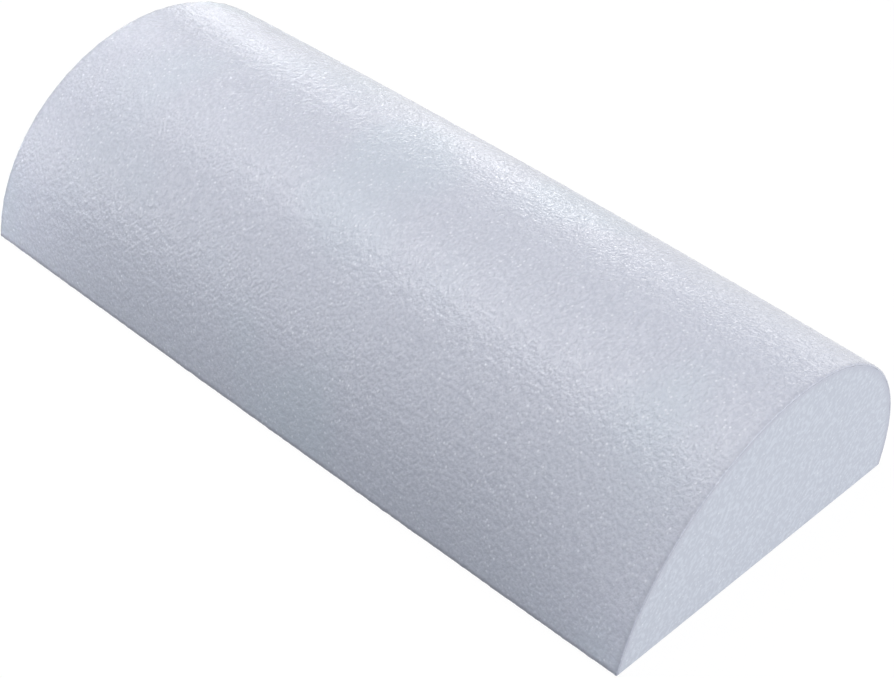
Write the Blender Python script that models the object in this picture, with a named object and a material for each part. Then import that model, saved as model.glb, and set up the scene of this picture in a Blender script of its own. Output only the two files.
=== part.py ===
"""Half round foam roller: a cut foam core under its moulded outer skin. Metres, +Z up, flat side down.

The origin is the middle of the flat underside. X runs along the roller and Y across it.
"""

import math

import bmesh
import bpy

# Overall sizes, taken at the middle of the length
LENGTH = 0.300
WIDTH = 0.154
HEIGHT = 0.0758

# The foam settles back a little towards the cut ends
END_DROP = 0.0023
END_NARROWING = 0.0006

# Layers
SKIN_THICKNESS = 0.0015
SKIN_GAP = 0.0003

# Rounding of the outer edges
EDGE_RADIUS = 0.0010

# Facets
ARC_STEPS = 56
LENGTH_STEPS = 16
EDGE_STEPS = 3

# Colours and surface
SKIN_COLOUR = (0.72, 0.73, 0.79, 1.0)
SKIN_ROUGHNESS = 0.55
CORE_COLOUR = (0.66, 0.67, 0.74, 1.0)
CORE_ROUGHNESS = 0.9

SHARP_ANGLE = math.radians(40)
BEVEL_LAYER = "bevel_weight_edge"


def clear_scene():
    for obj in list(bpy.data.objects):
        bpy.data.objects.remove(obj)


def foam_material(name, colour, roughness):
    material = bpy.data.materials.new(name)
    material.diffuse_color = colour
    material.use_nodes = True
    shader = material.node_tree.nodes["Principled BSDF"]
    shader.inputs["Base Color"].default_value = colour
    shader.inputs["Roughness"].default_value = roughness
    shader.inputs["Metallic"].default_value = 0.0
    return material


def stations():
    """Evenly spaced places along the roller, from one cut end to the other."""
    return [LENGTH * (step / LENGTH_STEPS - 0.5) for step in range(LENGTH_STEPS + 1)]


def section_axes(x):
    """Half width and height of the whole section at x, fullest at the middle of the length."""
    share = (2 * x / LENGTH) ** 2
    return WIDTH / 2 - END_NARROWING * share, HEIGHT - END_DROP * share


def arch_row(mesh, x, inset):
    """Vertices over the round side at x, from the +Y foot to the -Y foot, set in from the outside."""
    half_width, height = section_axes(x)
    row = []
    for step in range(ARC_STEPS + 1):
        angle = math.pi * step / ARC_STEPS
        y = (half_width - inset) * math.cos(angle)
        z = (height - inset) * math.sin(angle)
        foot = step in (0, ARC_STEPS)
        row.append(mesh.verts.new((x, y, 0.0 if foot else z)))
    return row


def arch_rows(mesh, inset):
    return [arch_row(mesh, x, inset) for x in stations()]


def strip(mesh, first, second):
    """A row of four-sided faces between two rows of vertices."""
    for start in range(len(first) - 1):
        mesh.faces.new((first[start], first[start + 1], second[start + 1], second[start]))


def surface(mesh, rows):
    for first, second in zip(rows, rows[1:]):
        strip(mesh, first, second)


def core_mesh(mesh):
    """The core's round side, its flat cut underside and its two cut ends."""
    rows = arch_rows(mesh, SKIN_THICKNESS + SKIN_GAP)
    surface(mesh, rows)
    for first, second in zip(rows, rows[1:]):
        mesh.faces.new((first[0], first[-1], second[-1], second[0]))
    mesh.faces.new(rows[0])
    mesh.faces.new(rows[-1])


def skin_mesh(mesh):
    """The skin's outside and inside, its two narrow feet and its rim at each cut end."""
    outside = arch_rows(mesh, 0.0)
    inside = arch_rows(mesh, SKIN_THICKNESS)
    surface(mesh, outside)
    surface(mesh, inside)
    for foot in (0, -1):
        strip(mesh, [row[foot] for row in outside], [row[foot] for row in inside])
    for end in (0, -1):
        strip(mesh, outside[end], inside[end])
    mark_outer_edges(mesh, outside)


def mark_outer_edges(mesh, rows):
    """Gives the outer rim of each end and both long bottom edges their full bevel weight."""
    weight = mesh.edges.layers.float.new(BEVEL_LAYER)
    borders = [rows[0], rows[-1], [row[0] for row in rows], [row[-1] for row in rows]]
    for border in borders:
        for first, second in zip(border, border[1:]):
            mesh.edges.get((first, second))[weight] = 1.0


def make_piece(name, build, material, parent):
    mesh = bmesh.new()
    build(mesh)
    bmesh.ops.recalc_face_normals(mesh, faces=mesh.faces)
    data = bpy.data.meshes.new(name)
    mesh.to_mesh(data)
    mesh.free()
    data.materials.append(material)
    data.shade_smooth()
    data.set_sharp_from_angle(angle=SHARP_ANGLE)
    piece = bpy.data.objects.new(name, data)
    bpy.context.collection.objects.link(piece)
    piece.parent = parent
    return piece


def round_edges(piece):
    bevel = piece.modifiers.new("outer_edges", "BEVEL")
    bevel.limit_method = "WEIGHT"
    bevel.width = EDGE_RADIUS
    bevel.segments = EDGE_STEPS


def make_roller():
    roller = bpy.data.objects.new("half_round_roller", None)
    bpy.context.collection.objects.link(roller)
    core_material = foam_material("cut_foam", CORE_COLOUR, CORE_ROUGHNESS)
    skin_material = foam_material("skinned_foam", SKIN_COLOUR, SKIN_ROUGHNESS)
    make_piece("foam_core", core_mesh, core_material, roller)
    skin = make_piece("outer_skin", skin_mesh, skin_material, roller)
    round_edges(skin)


clear_scene()
make_roller()
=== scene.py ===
"""Half round foam roller: the pebbled skin and the cut foam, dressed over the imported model."""

import math

import bmesh
import bpy
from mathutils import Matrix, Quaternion, Vector, noise


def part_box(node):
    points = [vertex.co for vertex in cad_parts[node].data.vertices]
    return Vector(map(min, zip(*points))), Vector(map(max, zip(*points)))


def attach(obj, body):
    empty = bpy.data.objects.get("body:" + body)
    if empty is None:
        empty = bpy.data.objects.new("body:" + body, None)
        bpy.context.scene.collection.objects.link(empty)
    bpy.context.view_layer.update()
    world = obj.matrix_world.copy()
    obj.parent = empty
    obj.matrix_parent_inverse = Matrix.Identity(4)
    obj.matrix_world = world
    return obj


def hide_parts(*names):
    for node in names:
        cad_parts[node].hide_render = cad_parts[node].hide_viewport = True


bl_info = {
    "name": "Half round foam roller",
    "version": (1, 0, 0),
    "blender": (4, 5, 0),
    "location": "3D View > Sidebar > Foam roller",
    "description": "Builds the skin, the cut foam and the studio of a half round foam roller",
    "category": "Add Mesh",
}

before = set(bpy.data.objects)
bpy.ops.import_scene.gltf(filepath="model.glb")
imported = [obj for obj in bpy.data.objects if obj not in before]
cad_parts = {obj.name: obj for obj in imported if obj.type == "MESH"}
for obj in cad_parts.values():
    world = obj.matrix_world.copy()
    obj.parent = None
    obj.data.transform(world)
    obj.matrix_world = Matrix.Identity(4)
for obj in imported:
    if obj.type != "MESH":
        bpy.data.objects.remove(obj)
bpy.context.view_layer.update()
SKIN_LOW, SKIN_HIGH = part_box("outer_skin")

PHOTO_WIDTH_PX = 894
MM = 0.001

# Points nearer together than this become one, as at the corners of the rounded edges
WELD_DISTANCE = 0.002 * MM

# How many faces run along and across each sheet
SKIN_LENGTH_FACES = 318
SKIN_ARC_FACES = 256
SKIN_INNER_FACES = 32
FILLET_FACES = 3
CUT_ACROSS_FACES = 208
CUT_UP_FACES = 104
BASE_LENGTH_FACES = 190

# Where the pebbles' noise, from 0 to 1, is a hollow and where it is a top. It sets the painted
# shade in the hollows and the smoother tops
PEBBLE_HOLLOW, PEBBLE_TOP = 0.35, 0.65

# Finer grain on the pebbles. Its width is in pebbles, and its height in heights of a pebble
GRAIN_WIDTH = 0.4
GRAIN_HEIGHT = 0.22

# Cool patches: their width in pebbles, where in their noise they start and are full, and how
# strongly they show
PATCH_WIDTH = 55
PATCH_START, PATCH_FULL = 0.50, 0.66
PATCH_STRENGTH = 0.5

# Small round tops with a painted glint, which also stand up as small domes. Their spacing is in
# pebbles, their height in heights of a pebble, and their reach in spacings. The higher the rarity,
# the fewer glint strongly
PEBBLE_GLINT_WIDTH = 1.3
PEBBLE_GLINT_HEIGHT = 0.10
PEBBLE_GLINT_REACH = 0.40
PEBBLE_GLINT_RARITY = 2.0

# How much less rough the tops of the pebbles are than the hollows
POLISH = 0.10

# Where the noise of the cut foam, from 0 to 1, is a pore and where it is a wall, for the painted
# shade in the pores
CELL_PORE, CELL_WALL = 0.40, 0.70

# Opened cells in the shape, and finer ones on the surface. Widths are in cells, and the depth
# is in cell depths
OPENED_CELL_WIDTH = 1.6
FINE_WIDTH = 0.4
FINE_DEPTH = 0.3

# Cell walls with a painted glint. Their spacing is in cells, and their reach in spacings
CELL_GLINT_WIDTH = 0.8
CELL_GLINT_REACH = 0.36
CELL_GLINT_RARITY = 4.0

# The part of a glint's reach over which it is fully bright
GLINT_CORE = 0.2

# The part of the edge width over which the painted shadow along the feet is at full strength
FOOT_SHADOW_CORE = 1 / 3

# Half the side of the floor, the dim colour it throws back on the roller, and the one it is seen in
FLOOR_REACH = 6.0
FLOOR_BOUNCE_COLOUR = (0.38, 0.42, 0.47)
FLOOR_SEEN_COLOUR = (0.95, 0.95, 0.95)
FLOOR_ROUGHNESS = 0.9

# How much of the seen floor is a white of its own, which pales the shadow, and how bright that is
FLOOR_WHITE_SHARE = 0.9
FLOOR_WHITE = 1.03

# Sockets of the colour mixing node, which share their names with its sockets for numbers
MIX_SHARE, MIX_FIRST, MIX_SECOND, MIX_RESULT = 0, 6, 7, 2


class RollerShape(bpy.types.PropertyGroup):
    """Sizes of the roller, at the middle of its length unless they say otherwise."""

    length: bpy.props.FloatProperty(
        name="Length",
        description="From one cut end to the other",
        default=SKIN_HIGH[0] - SKIN_LOW[0],
        unit="LENGTH",
    )
    width: bpy.props.FloatProperty(
        name="Width",
        description="Across the flat underside",
        default=SKIN_HIGH[1] - SKIN_LOW[1],
        unit="LENGTH",
    )
    height: bpy.props.FloatProperty(
        name="Height",
        description="From the flat underside to the top of the round side",
        default=SKIN_HIGH[2] - SKIN_LOW[2],
        unit="LENGTH",
    )
    end_drop: bpy.props.FloatProperty(
        name="End drop",
        description="How much lower the top is at the cut ends",
        default=2.3 * MM,
        unit="LENGTH",
    )
    end_narrowing: bpy.props.FloatProperty(
        name="End narrowing",
        description="How much each side draws in at the cut ends",
        default=0.6 * MM,
        unit="LENGTH",
    )
    edge_radius: bpy.props.FloatProperty(
        name="Edge radius",
        description="Rounding of the edges round the ends and along the feet",
        default=0.5 * MM,
        unit="LENGTH",
    )
    lip: bpy.props.FloatProperty(
        name="Lip",
        description="How far the skin reaches onto each cut face past its rounded edge",
        default=0.15 * MM,
        unit="LENGTH",
    )


class SkinFinish(bpy.types.PropertyGroup):
    """Colour and surface of the pebbled skin."""

    colour: bpy.props.FloatVectorProperty(
        name="Colour",
        description="Colour of the skin",
        default=(0.666, 0.690, 0.793),
        subtype="COLOR",
    )
    # Painted shade: a darker colour in the hollows between the pebbles
    hollow_shade_colour: bpy.props.FloatVectorProperty(
        name="Hollow colour",
        description="Colour of the skin in the hollows between its pebbles",
        default=(0.595, 0.622, 0.725),
        subtype="COLOR",
    )
    # Painted shadow along the feet, where the skin meets the floor, and a milder darkening along
    # the cut ends
    edge_colour: bpy.props.FloatVectorProperty(
        name="Edge colour",
        description="Colour of the skin along its cut edges",
        default=(0.40, 0.42, 0.51),
        subtype="COLOR",
    )
    edge_width: bpy.props.FloatProperty(
        name="Edge width",
        description="How far the edge colour reaches from the cut edges",
        default=2.4 * MM,
        unit="LENGTH",
    )
    end_edge: bpy.props.FloatProperty(
        name="Edge colour at the ends",
        description="Strength of the edge colour at the cut ends. At the feet it is 1",
        default=0.40,
        min=0.0,
        max=1.0,
        subtype="FACTOR",
    )
    cool_colour: bpy.props.FloatVectorProperty(
        name="Cool colour",
        description="Colour of the broad cooler patches",
        default=(0.60, 0.672, 0.765),
        subtype="COLOR",
    )
    # Painted glint: a near white colour on small round tops of the pebbles, standing in for
    # highlights
    painted_glint_colour: bpy.props.FloatVectorProperty(
        name="Glint colour",
        description="Colour of the polished tops of the pebbles",
        default=(0.87, 0.895, 0.985),
        subtype="COLOR",
    )
    roughness: bpy.props.FloatProperty(
        name="Roughness",
        description="How matt the skin is in the hollows between its pebbles",
        default=0.23,
        min=0.0,
        max=1.0,
        subtype="FACTOR",
    )
    pebble: bpy.props.FloatProperty(
        name="Pebble",
        description="Width of one pebble",
        default=1.05 * MM,
        unit="LENGTH",
    )
    pebble_height: bpy.props.FloatProperty(
        name="Pebble height",
        description="Height of the pebbles from hollow to top",
        default=0.37 * MM,
        unit="LENGTH",
    )
    wrinkle: bpy.props.FloatProperty(
        name="Wrinkle",
        description="Width of the soft wrinkles that run round the roller",
        default=1.5 * MM,
        unit="LENGTH",
    )
    wrinkle_height: bpy.props.FloatProperty(
        name="Wrinkle height",
        description="Height of the wrinkles",
        default=0.22 * MM,
        unit="LENGTH",
    )
    wave: bpy.props.FloatProperty(
        name="Wave",
        description="Width of the broad dimples under the pebbles",
        default=4.5 * MM,
        unit="LENGTH",
    )
    wave_height: bpy.props.FloatProperty(
        name="Wave height",
        description="Depth of the broad dimples",
        default=0.08 * MM,
        unit="LENGTH",
    )
    wrinkle_stretch: bpy.props.FloatProperty(
        name="Wrinkle stretch",
        description="How much longer the wrinkles are round the roller than along it",
        default=2.1,
        min=1.0,
    )
    pebble_stretch: bpy.props.FloatProperty(
        name="Pebble stretch",
        description="How much longer the pebbles are round the roller than along it",
        default=1.3,
        min=1.0,
    )


class CutFinish(bpy.types.PropertyGroup):
    """Colour and surface of the cut foam."""

    colour: bpy.props.FloatVectorProperty(
        name="Colour",
        description="Colour of the cut foam",
        default=(0.658, 0.690, 0.765),
        subtype="COLOR",
    )
    # Painted shade: a darker colour inside the opened cells
    pore_shade_colour: bpy.props.FloatVectorProperty(
        name="Pore colour",
        description="Colour inside the opened cells",
        default=(0.583, 0.610, 0.685),
        subtype="COLOR",
    )
    # Painted glints: a near white colour on a few cell walls, standing in for highlights
    painted_glint_colour: bpy.props.FloatVectorProperty(
        name="Glint colour",
        description="Colour of the few cell walls that catch the light",
        default=(0.94, 0.96, 1.0),
        subtype="COLOR",
    )
    # A darker band of the cut foam along the round edge of each cut end, beside the skin
    edge_colour: bpy.props.FloatVectorProperty(
        name="Edge colour",
        description="Colour of the denser foam beside the skin",
        default=(0.545, 0.56, 0.64),
        subtype="COLOR",
    )
    # How far the darker band reaches in from the skin
    edge_width: bpy.props.FloatProperty(
        name="Edge width",
        description="How far the denser foam reaches in from the skin",
        default=4.0 * MM,
        unit="LENGTH",
    )
    roughness: bpy.props.FloatProperty(
        name="Roughness",
        description="How matt the cut foam is",
        default=0.75,
        min=0.0,
        max=1.0,
        subtype="FACTOR",
    )
    cell: bpy.props.FloatProperty(
        name="Cell",
        description="Width of one cell of the foam",
        default=1.6 * MM,
        unit="LENGTH",
    )
    cell_depth: bpy.props.FloatProperty(
        name="Cell depth",
        description="Depth of the opened cells",
        default=0.10 * MM,
        unit="LENGTH",
    )


class Studio(bpy.types.PropertyGroup):
    """Where the camera stands, and the strength of the even light."""

    azimuth: bpy.props.FloatProperty(
        name="Azimuth",
        description="Direction of the camera, from the front towards the near end",
        default=math.radians(37.13),
        subtype="ANGLE",
    )
    elevation: bpy.props.FloatProperty(
        name="Elevation",
        description="Height of the camera above the horizon",
        default=math.radians(36.09),
        subtype="ANGLE",
    )
    roll: bpy.props.FloatProperty(
        name="Roll",
        description="Tilt of the camera about its own line of sight",
        default=math.radians(8.54),
        subtype="ANGLE",
    )
    distance: bpy.props.FloatProperty(
        name="Distance",
        description="From the camera to the point it looks at",
        default=0.6351,
        unit="LENGTH",
    )
    aim: bpy.props.FloatVectorProperty(
        name="Aim",
        description="The point that the camera looks at",
        default=(0.0272, -0.0228, 0.0300),
        subtype="TRANSLATION",
    )
    focal_px: bpy.props.FloatProperty(
        name="Focal length in pixels",
        description="Focal length in pixels of a picture as wide as the photograph",
        default=1855.0,
    )
    sky: bpy.props.FloatProperty(
        name="Sky",
        description="Strength of the even light from all round",
        default=0.12,
        min=0.0,
    )


def shape():
    return bpy.context.scene.roller_shape


def section_axes(x):
    """Half width and height of the section at x, fullest at the middle of the length."""
    sizes = shape()
    share = (2 * x / sizes.length) ** 2
    return sizes.width / 2 - sizes.end_narrowing * share, sizes.height - sizes.end_drop * share


def spread(low, high, count):
    """Evenly spaced values from low to high, count steps apart."""
    return [low + (high - low) * step / count for step in range(count + 1)]


def relief(point, width):
    """Smooth bumps and hollows about width across, between -1 and 1."""
    return noise.noise(point / width)


class SkinPoint:
    """A place across the section: its angle on the arch, its lean, and how far in it is."""

    def __init__(self, angle, lean, inward=0.0):
        self.angle = angle
        self.lean = lean
        self.inward = inward


def across_points():
    """Places over the round side, from the lip under the +Y foot to the lip under the -Y foot."""
    sizes = shape()
    foot = math.asin(sizes.edge_radius / (sizes.height - sizes.edge_radius))
    start = [SkinPoint(foot, -math.pi / 2, sizes.lip)]
    start += [SkinPoint(foot, lean) for lean in spread(-math.pi / 2, foot, FILLET_FACES)[:-1]]
    arch = [SkinPoint(angle, angle) for angle in spread(foot, math.pi - foot, SKIN_ARC_FACES)]
    finish = [
        SkinPoint(math.pi - foot, math.pi - lean)
        for lean in reversed(spread(-math.pi / 2, foot, FILLET_FACES)[:-1])
    ]
    return start + arch + finish + [SkinPoint(math.pi - foot, math.pi * 1.5, sizes.lip)]


def along_points():
    """Places along the roller as (x of the rounding's centre, lean, inward), from end to end."""
    sizes = shape()
    reach = sizes.length / 2 - sizes.edge_radius
    quarter = math.pi / 2
    start = [(-reach, -quarter, sizes.lip)]
    start += [(-reach, lean, 0.0) for lean in spread(-quarter, 0.0, FILLET_FACES)[:-1]]
    run = [(x, 0.0, 0.0) for x in spread(-reach, reach, SKIN_LENGTH_FACES)]
    finish = [(reach, lean, 0.0) for lean in spread(0.0, quarter, FILLET_FACES)[1:]]
    return start + run + finish + [(reach, quarter, sizes.lip)]


def rounded_point(station, place):
    """A point of the rounded body and its outward direction."""
    sizes = shape()
    x, end_lean, end_inward = station
    half_width, height = section_axes(x)
    inset = sizes.edge_radius + end_inward
    y = (half_width - inset) * math.cos(place.angle)
    z = (height - inset) * math.sin(place.angle)
    if place.angle == place.lean:
        direction = Vector((0.0, y / half_width**2, z / height**2)).normalized()
    else:
        direction = Vector((0.0, math.cos(place.lean), math.sin(place.lean)))
        z = sizes.edge_radius + end_inward
    y -= math.copysign(place.inward, y)
    outward = direction * math.cos(end_lean)
    outward.x = math.sin(end_lean)
    return Vector((x, y, z)) + outward * sizes.edge_radius, outward


def skin_relief(point):
    """How far the skin stands out at a point: soft wrinkles round the roller over broad dimples."""
    finish = bpy.context.scene.skin_finish
    round_way = math.atan2(point.z, point.y) * shape().height
    height = finish.wave_height * relief(Vector((point.x, round_way, 0.0)), finish.wave)
    across = Vector((point.x, round_way / finish.wrinkle_stretch, 0.0))
    return height + finish.wrinkle_height * relief(across, finish.wrinkle)


def grid_faces(mesh, rows):
    for first, second in zip(rows, rows[1:]):
        for start in range(len(first) - 1):
            mesh.faces.new((first[start], first[start + 1], second[start + 1], second[start]))


def stitch(mesh, coarse, fine):
    """Joins a row with few vertices to a row with many, one many-sided face for each wide step."""
    steps = len(coarse) - 1
    cuts = [round((len(fine) - 1) * step / steps) for step in range(steps + 1)]
    for step in range(steps):
        run = fine[cuts[step] : cuts[step + 1] + 1]
        mesh.faces.new([coarse[step], coarse[step + 1], *reversed(run)])


def skin_outside(mesh):
    """The outside with its rounded edges and lips. Its relief fades out over the rounding."""
    rows = []
    places = across_points()
    for station in along_points():
        row = []
        for place in places:
            point, outward = rounded_point(station, place)
            round_share = max(1 - outward.x**2 - min(outward.z, 0.0) ** 2, 0.0)
            row.append(mesh.verts.new(point + outward * skin_relief(point) * round_share))
        rows.append(row)
    grid_faces(mesh, rows)
    return rows


def skin_inside(mesh):
    """The plain inner side of the skin, out of sight against the core."""
    sizes = shape()
    depth = sizes.edge_radius + sizes.lip
    reach = sizes.length / 2 - depth
    rows = []
    for x in spread(-reach, reach, SKIN_INNER_FACES):
        half_width, height = section_axes(x)
        row = []
        for angle in spread(0.0, math.pi, SKIN_INNER_FACES):
            y = (half_width - depth) * math.cos(angle)
            z = max((height - depth) * math.sin(angle), sizes.edge_radius)
            row.append(mesh.verts.new((x, y, z)))
        rows.append(row)
    grid_faces(mesh, rows)
    return rows


def skin_mesh(mesh):
    outside = skin_outside(mesh)
    inside = skin_inside(mesh)
    for end in (0, -1):
        stitch(mesh, inside[end], outside[end])
    for foot in (0, -1):
        stitch(mesh, [row[foot] for row in inside], [row[foot] for row in outside])


def cut_relief(point):
    """How far the cut face is hollowed at a point by the cells that the blade opened."""
    finish = bpy.context.scene.cut_finish
    return finish.cell_depth * 0.5 * (1 + relief(point, finish.cell * OPENED_CELL_WIDTH))


def half_disc(u, v):
    """Spreads a square grid over a half disc: u from -1 to 1 across, v from 0 to 1 up."""
    return u * math.sqrt(1 - v * v / 2), v * math.sqrt(1 - u * u / 2)


def end_face(mesh, side):
    """Rows of vertices over one cut end, the lowest row first. side is -1 or 1."""
    sizes = shape()
    half_width, height = section_axes(sizes.length / 2)
    inset = sizes.edge_radius
    face_x = sizes.length / 2
    rows = []
    for v in spread(0.0, 1.0, CUT_UP_FACES):
        row = []
        for u in spread(-1.0, 1.0, CUT_ACROSS_FACES):
            across, up = half_disc(u, v)
            y = (half_width - inset) * across
            point = Vector((side * face_x, y, inset + (height - 2 * inset) * up))
            point.x -= side * cut_relief(point)
            row.append(mesh.verts.new(point))
        rows.append(row)
    grid_faces(mesh, rows)
    return rows


def underside(mesh, far_row, near_row):
    """The flat cut underside, with its rounding up to each end face."""
    sizes = shape()
    radius = sizes.edge_radius
    reach = sizes.length / 2 - radius
    leans = spread(0.0, math.pi / 2, FILLET_FACES)[:-1]
    stations = [(-reach, lean) for lean in reversed(leans)]
    stations += [(x, 0.0) for x in spread(-reach, reach, BASE_LENGTH_FACES)[1:-1]]
    stations += [(reach, lean) for lean in leans]
    rows = [far_row]
    for x, lean in stations:
        half_width = section_axes(x)[0] - radius
        shift = math.copysign(radius * math.sin(lean), x)
        row = []
        for share in spread(-1.0, 1.0, CUT_ACROSS_FACES):
            point = Vector((x + shift, half_width * share, radius * (1 - math.cos(lean))))
            point.z += cut_relief(point) * math.cos(lean)
            row.append(mesh.verts.new(point))
        rows.append(row)
    rows.append(near_row)
    grid_faces(mesh, rows)
    return rows


def core_mesh(mesh):
    """Both cut ends, the cut underside, and a plain hidden top that closes the body."""
    far = end_face(mesh, -1)
    near = end_face(mesh, 1)
    base = underside(mesh, far[0], near[0])
    top = [far[-1], near[-1]]
    grid_faces(mesh, top)
    for foot in (0, -1):
        far_side = [row[foot] for row in far]
        near_side = [row[foot] for row in near]
        grid_faces(mesh, [far_side[1:], near_side[1:]])
        base_side = [row[foot] for row in base]
        mesh.faces.new([far_side[1], *base_side, near_side[1]])


def make_piece(name, build, material, node):
    """Builds a closed mesh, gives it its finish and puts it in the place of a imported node."""
    mesh = bmesh.new()
    build(mesh)
    bmesh.ops.remove_doubles(mesh, verts=mesh.verts, dist=WELD_DISTANCE)
    bmesh.ops.recalc_face_normals(mesh, faces=mesh.faces)
    data = bpy.data.meshes.new(name)
    mesh.to_mesh(data)
    mesh.free()
    data.shade_smooth()
    data.materials.append(material)
    piece = bpy.data.objects.new(name, data)
    bpy.context.scene.collection.objects.link(piece)
    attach(piece, "root")
    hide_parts(node)
    return piece


def new_material(name):
    material = bpy.data.materials.new(name)
    material.use_nodes = True
    nodes = material.node_tree.nodes
    nodes.clear()
    output = nodes.new("ShaderNodeOutputMaterial")
    shader = nodes.new("ShaderNodeBsdfPrincipled")
    material.node_tree.links.new(shader.outputs["BSDF"], output.inputs["Surface"])
    return material, shader


def add_node(material, kind, inputs=None, **settings):
    """Adds a node. inputs maps socket names or numbers to values or to other nodes' outputs."""
    node = material.node_tree.nodes.new(kind)
    for name, value in settings.items():
        setattr(node, name, value)
    for socket, value in (inputs or {}).items():
        if isinstance(value, bpy.types.NodeSocket):
            material.node_tree.links.new(value, node.inputs[socket])
        else:
            node.inputs[socket].default_value = value
    return node


def place_output(material):
    """Where the shaded point is on the roller, in metres."""
    return add_node(material, "ShaderNodeTexCoord").outputs["Object"]


def unrolled_output(material, radius, stretch):
    """The shaded point with the round side unrolled flat, squeezed round the roller by stretch."""
    point = add_node(material, "ShaderNodeSeparateXYZ", {"Vector": place_output(material)}).outputs
    angle = math_output(material, "ARCTAN2", point["Z"], point["Y"])
    round_way = math_output(material, "MULTIPLY", angle, radius / stretch)
    section = {"X": point["Y"], "Y": point["Z"]}
    flat = add_node(material, "ShaderNodeCombineXYZ", section).outputs["Vector"]
    depth = add_node(material, "ShaderNodeVectorMath", {0: flat}, operation="LENGTH")
    inputs = {"X": point["X"], "Y": round_way, "Z": depth.outputs["Value"]}
    return add_node(material, "ShaderNodeCombineXYZ", inputs).outputs["Vector"]


def noise_output(material, place, width, detail=2.0, roughness=0.5):
    """Soft bumps about width across, from 0 to 1."""
    inputs = {"Vector": place, "Scale": 1 / width, "Detail": detail, "Roughness": roughness}
    return add_node(material, "ShaderNodeTexNoise", inputs).outputs["Fac"]


def glint_output(material, place, width, reach, rarity):
    """Small round tops, one in each cell about width across, that carry painted glints.

    The higher the rarity, the fewer of them are bright.
    """
    inputs = {"Vector": place, "Scale": 1 / width}
    cells = add_node(material, "ShaderNodeTexVoronoi", inputs).outputs
    top = ramp_output(material, cells["Distance"], reach, reach * GLINT_CORE)
    strength = add_node(material, "ShaderNodeSeparateColor", {"Color": cells["Color"]})
    strength = math_output(material, "POWER", strength.outputs["Red"], rarity)
    return math_output(material, "MULTIPLY", top, strength)


def ramp_output(material, value, low, high):
    """Stretches a value so that low becomes 0 and high becomes 1."""
    inputs = {"Value": value, "From Min": low, "From Max": high}
    ramp = add_node(material, "ShaderNodeMapRange", inputs, interpolation_type="SMOOTHSTEP")
    return ramp.outputs["Result"]


def math_output(material, operation, first, second):
    node = add_node(material, "ShaderNodeMath", {0: first, 1: second}, operation=operation)
    return node.outputs["Value"]


def mix_output(material, share, first, second):
    """Mixes two colours by share."""
    node = add_node(material, "ShaderNodeMix", data_type="RGBA")
    for socket, value in ((MIX_SHARE, share), (MIX_FIRST, first), (MIX_SECOND, second)):
        if isinstance(value, bpy.types.NodeSocket):
            material.node_tree.links.new(value, node.inputs[socket])
        else:
            plain = value if socket == MIX_SHARE else (*value, 1.0)
            node.inputs[socket].default_value = plain
    return node.outputs[MIX_RESULT]


def bump_output(material, height, distance, normal=None):
    inputs = {"Height": height, "Distance": distance, "Strength": 1.0}
    if normal is not None:
        inputs["Normal"] = normal
    return add_node(material, "ShaderNodeBump", inputs).outputs["Normal"]


def pebbled_skin_material():
    """The moulded skin: fine satin pebbles over soft dimples, with painted shade in the hollows."""
    finish = bpy.context.scene.skin_finish
    material, shader = new_material("pebbled_skin")
    place = unrolled_output(material, shape().height, finish.pebble_stretch)
    pebbles = noise_output(material, place, finish.pebble, detail=1.0, roughness=0.4)
    grain = noise_output(material, place, finish.pebble * GRAIN_WIDTH, detail=1.0)
    patches = noise_output(material, place, finish.pebble * PATCH_WIDTH, detail=1.0)
    raised = ramp_output(material, pebbles, PEBBLE_HOLLOW, PEBBLE_TOP)
    # Painted shade in the hollows between the pebbles, lighter on their tops
    colour = mix_output(material, raised, finish.hollow_shade_colour, finish.colour)
    width = finish.pebble * PEBBLE_GLINT_WIDTH
    glints = glint_output(material, place, width, PEBBLE_GLINT_REACH, PEBBLE_GLINT_RARITY)
    cool = ramp_output(material, patches, PATCH_START, PATCH_FULL)
    cool = math_output(material, "MULTIPLY", cool, PATCH_STRENGTH)
    colour = mix_output(material, cool, colour, finish.cool_colour)
    # Painted glints on the small round tops
    colour = mix_output(material, glints, colour, finish.painted_glint_colour)
    # Painted shadow along the feet, and a darkening along the cut ends
    colour = mix_output(material, painted_foot_shadow_and_end_edge_output(material), colour, finish.edge_colour)
    material.node_tree.links.new(colour, shader.inputs["Base Color"])
    polish = math_output(material, "MULTIPLY", raised, POLISH)
    matt = math_output(material, "SUBTRACT", finish.roughness, polish)
    material.node_tree.links.new(matt, shader.inputs["Roughness"])
    grain = math_output(material, "MULTIPLY", grain, GRAIN_HEIGHT)
    height = math_output(material, "ADD", pebbles, grain)
    tops = math_output(material, "MULTIPLY", glints, PEBBLE_GLINT_HEIGHT)
    height = math_output(material, "ADD", height, tops)
    normal = bump_output(material, height, finish.pebble_height)
    material.node_tree.links.new(normal, shader.inputs["Normal"])
    return material


def painted_foot_shadow_and_end_edge_output(material):
    """Painted shadow along the feet, and a darkening at the cut ends: 1 at the edges of the skin,
    fading to 0 within the edge width.
    """
    sizes = shape()
    finish = bpy.context.scene.skin_finish
    width = finish.edge_width
    point = add_node(material, "ShaderNodeSeparateXYZ", {"Vector": place_output(material)}).outputs
    from_middle = math_output(material, "ABSOLUTE", point["X"], 0.0)
    half = sizes.length / 2
    ends = ramp_output(material, from_middle, half - width, half)
    ends = math_output(material, "MULTIPLY", ends, finish.end_edge)
    # Painted shadow along the feet, where the skin meets the floor
    feet = ramp_output(material, point["Z"], width, width * FOOT_SHADOW_CORE)
    return math_output(material, "MAXIMUM", ends, feet)


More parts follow.
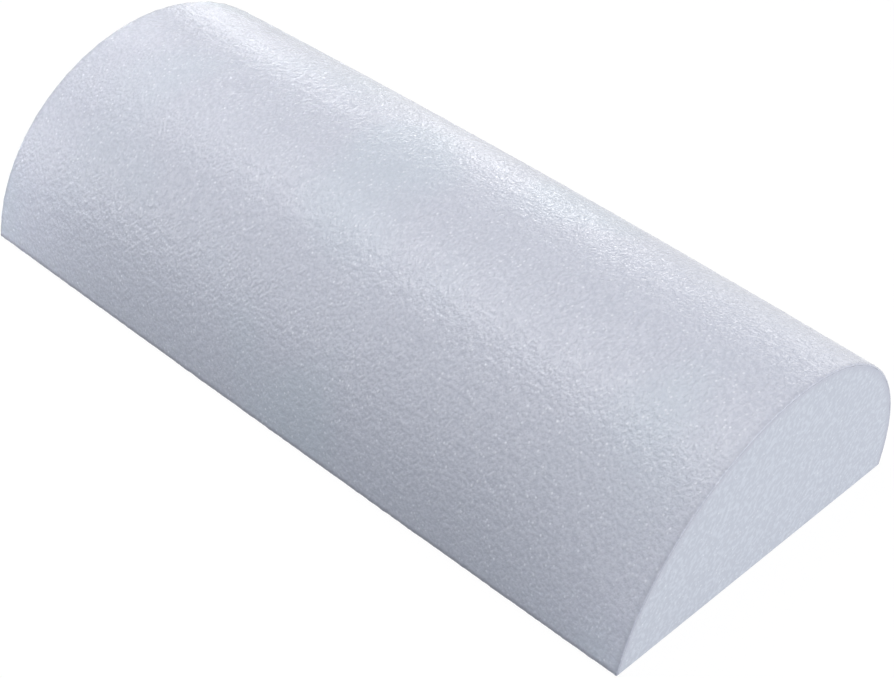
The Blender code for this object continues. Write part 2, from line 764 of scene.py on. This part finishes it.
def cut_edge_output(material):
    """1 at the round edge of a cut end, fading to 0 within the edge width."""
    half_width, height = section_axes(shape().length / 2)
    squeeze = {0: place_output(material), 1: (0.0, height / half_width, 1.0)}
    section = add_node(material, "ShaderNodeVectorMath", squeeze, operation="MULTIPLY")
    inputs = {0: section.outputs["Vector"]}
    out = add_node(material, "ShaderNodeVectorMath", inputs, operation="LENGTH").outputs["Value"]
    return ramp_output(material, out, height - bpy.context.scene.cut_finish.edge_width, height)


def cut_foam_material():
    """The cut foam: matt, with fine even cells, painted shade in the pores, and painted glints on a
    few cells.
    """
    finish = bpy.context.scene.cut_finish
    material, shader = new_material("cut_foam")
    place = place_output(material)
    cells = noise_output(material, place, finish.cell, detail=1.0, roughness=0.3)
    fine = noise_output(material, place, finish.cell * FINE_WIDTH)
    walls = ramp_output(material, cells, CELL_PORE, CELL_WALL)
    # Painted shade inside the opened cells
    colour = mix_output(material, walls, finish.pore_shade_colour, finish.colour)
    width = finish.cell * CELL_GLINT_WIDTH
    glints = glint_output(material, place, width, CELL_GLINT_REACH, CELL_GLINT_RARITY)
    # Painted glints on a few cell walls
    colour = mix_output(material, glints, colour, finish.painted_glint_colour)
    # Darker towards the round edge of each cut end
    colour = mix_output(material, cut_edge_output(material), colour, finish.edge_colour)
    material.node_tree.links.new(colour, shader.inputs["Base Color"])
    shader.inputs["Roughness"].default_value = finish.roughness
    normal = bump_output(material, cells, finish.cell_depth)
    normal = bump_output(material, fine, finish.cell_depth * FINE_DEPTH, normal)
    material.node_tree.links.new(normal, shader.inputs["Normal"])
    return material


class ROLLER_OT_pebbled_skin(bpy.types.Operator):
    """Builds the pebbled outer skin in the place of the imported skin"""

    bl_idname = "roller.pebbled_skin"
    bl_label = "Pebbled skin"

    def execute(self, context):
        piece = make_piece("pebbled_skin", skin_mesh, pebbled_skin_material(), "outer_skin")
        return {"FINISHED"}


class ROLLER_OT_cut_foam(bpy.types.Operator):
    """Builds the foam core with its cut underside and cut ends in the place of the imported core"""

    bl_idname = "roller.cut_foam"
    bl_label = "Cut foam"

    def execute(self, context):
        piece = make_piece("cut_foam_core", core_mesh, cut_foam_material(), "foam_core")
        return {"FINISHED"}


def make_floor():
    """A wide pale floor that shows as white wherever the roller's shadow does not fall."""
    mesh = bmesh.new()
    bmesh.ops.create_grid(mesh, x_segments=1, y_segments=1, size=FLOOR_REACH)
    data = bpy.data.meshes.new("floor")
    mesh.to_mesh(data)
    mesh.free()
    floor = bpy.data.objects.new("floor", data)
    bpy.context.scene.collection.objects.link(floor)
    material, shader = new_material("pale_floor")
    path = add_node(material, "ShaderNodeLightPath").outputs
    seen = math_output(material, "MAXIMUM", path["Is Camera Ray"], path["Is Glossy Ray"])
    colour = mix_output(material, seen, FLOOR_BOUNCE_COLOUR, FLOOR_SEEN_COLOUR)
    material.node_tree.links.new(colour, shader.inputs["Base Color"])
    shader.inputs["Roughness"].default_value = FLOOR_ROUGHNESS
    white = add_node(material, "ShaderNodeEmission", {"Strength": FLOOR_WHITE})
    share = math_output(material, "MULTIPLY", seen, FLOOR_WHITE_SHARE)
    mixed = add_node(material, "ShaderNodeMixShader", {0: share})
    links = material.node_tree.links
    links.new(shader.outputs["BSDF"], mixed.inputs[1])
    links.new(white.outputs["Emission"], mixed.inputs[2])
    output = next(node for node in material.node_tree.nodes if node.type == "OUTPUT_MATERIAL")
    links.new(mixed.outputs["Shader"], output.inputs["Surface"])
    data.materials.append(material)


def make_sky(strength):
    """Even white light from all round, and a plain white background."""
    world = bpy.data.worlds.new("studio")
    bpy.context.scene.world = world
    world.use_nodes = True
    tree = world.node_tree
    background = tree.nodes["Background"]
    background.inputs["Color"].default_value = (1.0, 1.0, 1.0, 1.0)
    path = tree.nodes.new("ShaderNodeLightPath")
    seen = path.outputs["Is Camera Ray"]
    for kind in ("Is Glossy Ray", "Is Transmission Ray"):
        either = tree.nodes.new("ShaderNodeMath")
        either.operation = "MAXIMUM"
        tree.links.new(seen, either.inputs[0])
        tree.links.new(path.outputs[kind], either.inputs[1])
        seen = either.outputs["Value"]
    level = tree.nodes.new("ShaderNodeMapRange")
    level.inputs["To Min"].default_value = strength
    tree.links.new(seen, level.inputs["Value"])
    tree.links.new(level.outputs["Result"], background.inputs["Strength"])


# Where a lamp faces and how wide its beam is, in degrees, unless it says otherwise
ROLLER_MIDDLE = (0.0, 0.0, 0.03)
OPEN_BEAM = 180.0

# Each lamp's name, position, width and height in metres, and power in watts. Some also have the
# point they face, and the width of their narrow beam in degrees
SOFTBOXES = (
    # Even light from above
    ("top_softbox", (0.0, 0.0, 1.5), (1.2, 1.2), 7.8),
    # The shine along the top, from one lamp for each third of the length
    ("back_softbox_far", (-1.2, 1.15, 0.4), (0.18, 0.8), 1.45),
    ("back_softbox_middle", (-0.75, 1.3, 0.33), (0.18, 0.6), 1.2),
    ("back_softbox_near", (-0.3, 1.4, 0.33), (0.18, 0.6), 0.6),
    # Light from the far end
    ("far_softbox", (-1.4, 0.0, 0.7), (0.6, 0.6), 2.2),
    # A smaller lamp that picks out the tops of the pebbles
    ("glint_lamp", (-0.6, -0.25, 1.15), (0.25, 0.25), 2.8),
    # Fill for the front of the round side
    ("front_softbox", (0.0, -1.2, 1.1), (1.0, 1.0), 1.55),
    # Fill for the lower front towards the far end
    ("far_low_softbox", (-0.6, -0.45, 0.3), (0.4, 0.4), 0.65),
    # Level fill for the lower front, which leaves its relief soft
    ("front_low_softbox", (-0.25, -0.9, 0.15), (0.5, 0.3), 0.16, (-0.05, 0.0, 0.03)),
    # The main light on the near cut end
    ("near_softbox", (1.38, 0.3, 0.5), (1.4, 0.9), 15.2),
    # Narrow beams on the far part of the skin, low and high
    ("far_end_softbox", (-0.87, -0.5, 0.12), (0.24, 0.2), 0.018, (-0.22, -0.09, 0.0), 20.0),
    ("far_top_softbox", (-0.9, 0.35, 0.55), (0.1, 0.1), 0.014, (-0.22, 0.02, 0.06), 20.0),
    # Narrow beams on the lowest part of the front, at each end
    ("far_foot_softbox", (-0.19, -0.55, 0.03), (0.08, 0.08), 0.014, (-0.19, -0.08, 0.0), 20.0),
    ("near_foot_softbox", (0.19, -0.55, 0.03), (0.08, 0.08), 0.007, (0.19, -0.08, 0.0), 20.0),
)


def make_softbox(name, position, size, power, aim=ROLLER_MIDDLE, beam_degrees=OPEN_BEAM):
    """A rectangular lamp that faces the aim."""
    lamp = bpy.data.lights.new(name, "AREA")
    lamp.shape = "RECTANGLE"
    lamp.size, lamp.size_y = size
    lamp.energy = power
    lamp.spread = math.radians(beam_degrees)
    softbox = bpy.data.objects.new(name, lamp)
    softbox.location = position
    softbox.rotation_euler = (Vector(aim) - Vector(position)).to_track_quat("-Z", "Y").to_euler()
    bpy.context.scene.collection.objects.link(softbox)


def make_camera():
    """The camera at the photograph's angle."""
    studio = bpy.context.scene.studio
    level = math.cos(studio.elevation)
    towards = Vector(
        (
            math.sin(studio.azimuth) * level,
            -math.cos(studio.azimuth) * level,
            math.sin(studio.elevation),
        )
    )
    data = bpy.data.cameras.new("camera")
    data.lens = data.sensor_width * studio.focal_px / PHOTO_WIDTH_PX
    camera = bpy.data.objects.new("camera", data)
    camera.location = Vector(studio.aim) + towards * studio.distance
    turn = (-towards).to_track_quat("-Z", "Y") @ Quaternion((0.0, 0.0, 1.0), studio.roll)
    camera.rotation_euler = turn.to_euler()
    bpy.context.scene.collection.objects.link(camera)
    bpy.context.scene.camera = camera


class ROLLER_OT_studio(bpy.types.Operator):
    """Sets up the pale floor, the soft lamps and the camera"""

    bl_idname = "roller.studio"
    bl_label = "Studio"

    def execute(self, context):
        studio = context.scene.studio
        context.scene.view_settings.view_transform = "Standard"
        make_floor()
        make_sky(studio.sky)
        for softbox in SOFTBOXES:
            make_softbox(*softbox)
        make_camera()
        return {"FINISHED"}


class ROLLER_PT_panel(bpy.types.Panel):
    """Lists the steps that build the roller"""

    bl_idname = "ROLLER_PT_panel"
    bl_label = "Foam roller"
    bl_space_type = "VIEW_3D"
    bl_region_type = "UI"
    bl_category = "Foam roller"

    def draw(self, context):
        for operator in OPERATORS:
            self.layout.operator(operator.bl_idname)
        for name in GROUPS:
            group = getattr(context.scene, name)
            box = self.layout.box()
            for field in group.bl_rna.properties.keys():
                if field not in ("name", "rna_type"):
                    box.prop(group, field)


OPERATORS = (ROLLER_OT_pebbled_skin, ROLLER_OT_cut_foam, ROLLER_OT_studio)
GROUPS = {
    "roller_shape": RollerShape,
    "skin_finish": SkinFinish,
    "cut_finish": CutFinish,
    "studio": Studio,
}


def register():
    for group in GROUPS.values():
        bpy.utils.register_class(group)
    for operator in OPERATORS:
        bpy.utils.register_class(operator)
    bpy.utils.register_class(ROLLER_PT_panel)
    for name, group in GROUPS.items():
        setattr(bpy.types.Scene, name, bpy.props.PointerProperty(type=group))


def unregister():
    for name in GROUPS:
        delattr(bpy.types.Scene, name)
    bpy.utils.unregister_class(ROLLER_PT_panel)
    for operator in reversed(OPERATORS):
        bpy.utils.unregister_class(operator)
    for group in reversed(GROUPS.values()):
        bpy.utils.unregister_class(group)


def main():
    register()
    bpy.ops.roller.pebbled_skin()
    bpy.ops.roller.cut_foam()
    bpy.ops.roller.studio()


if __name__ == "__main__":
    main()
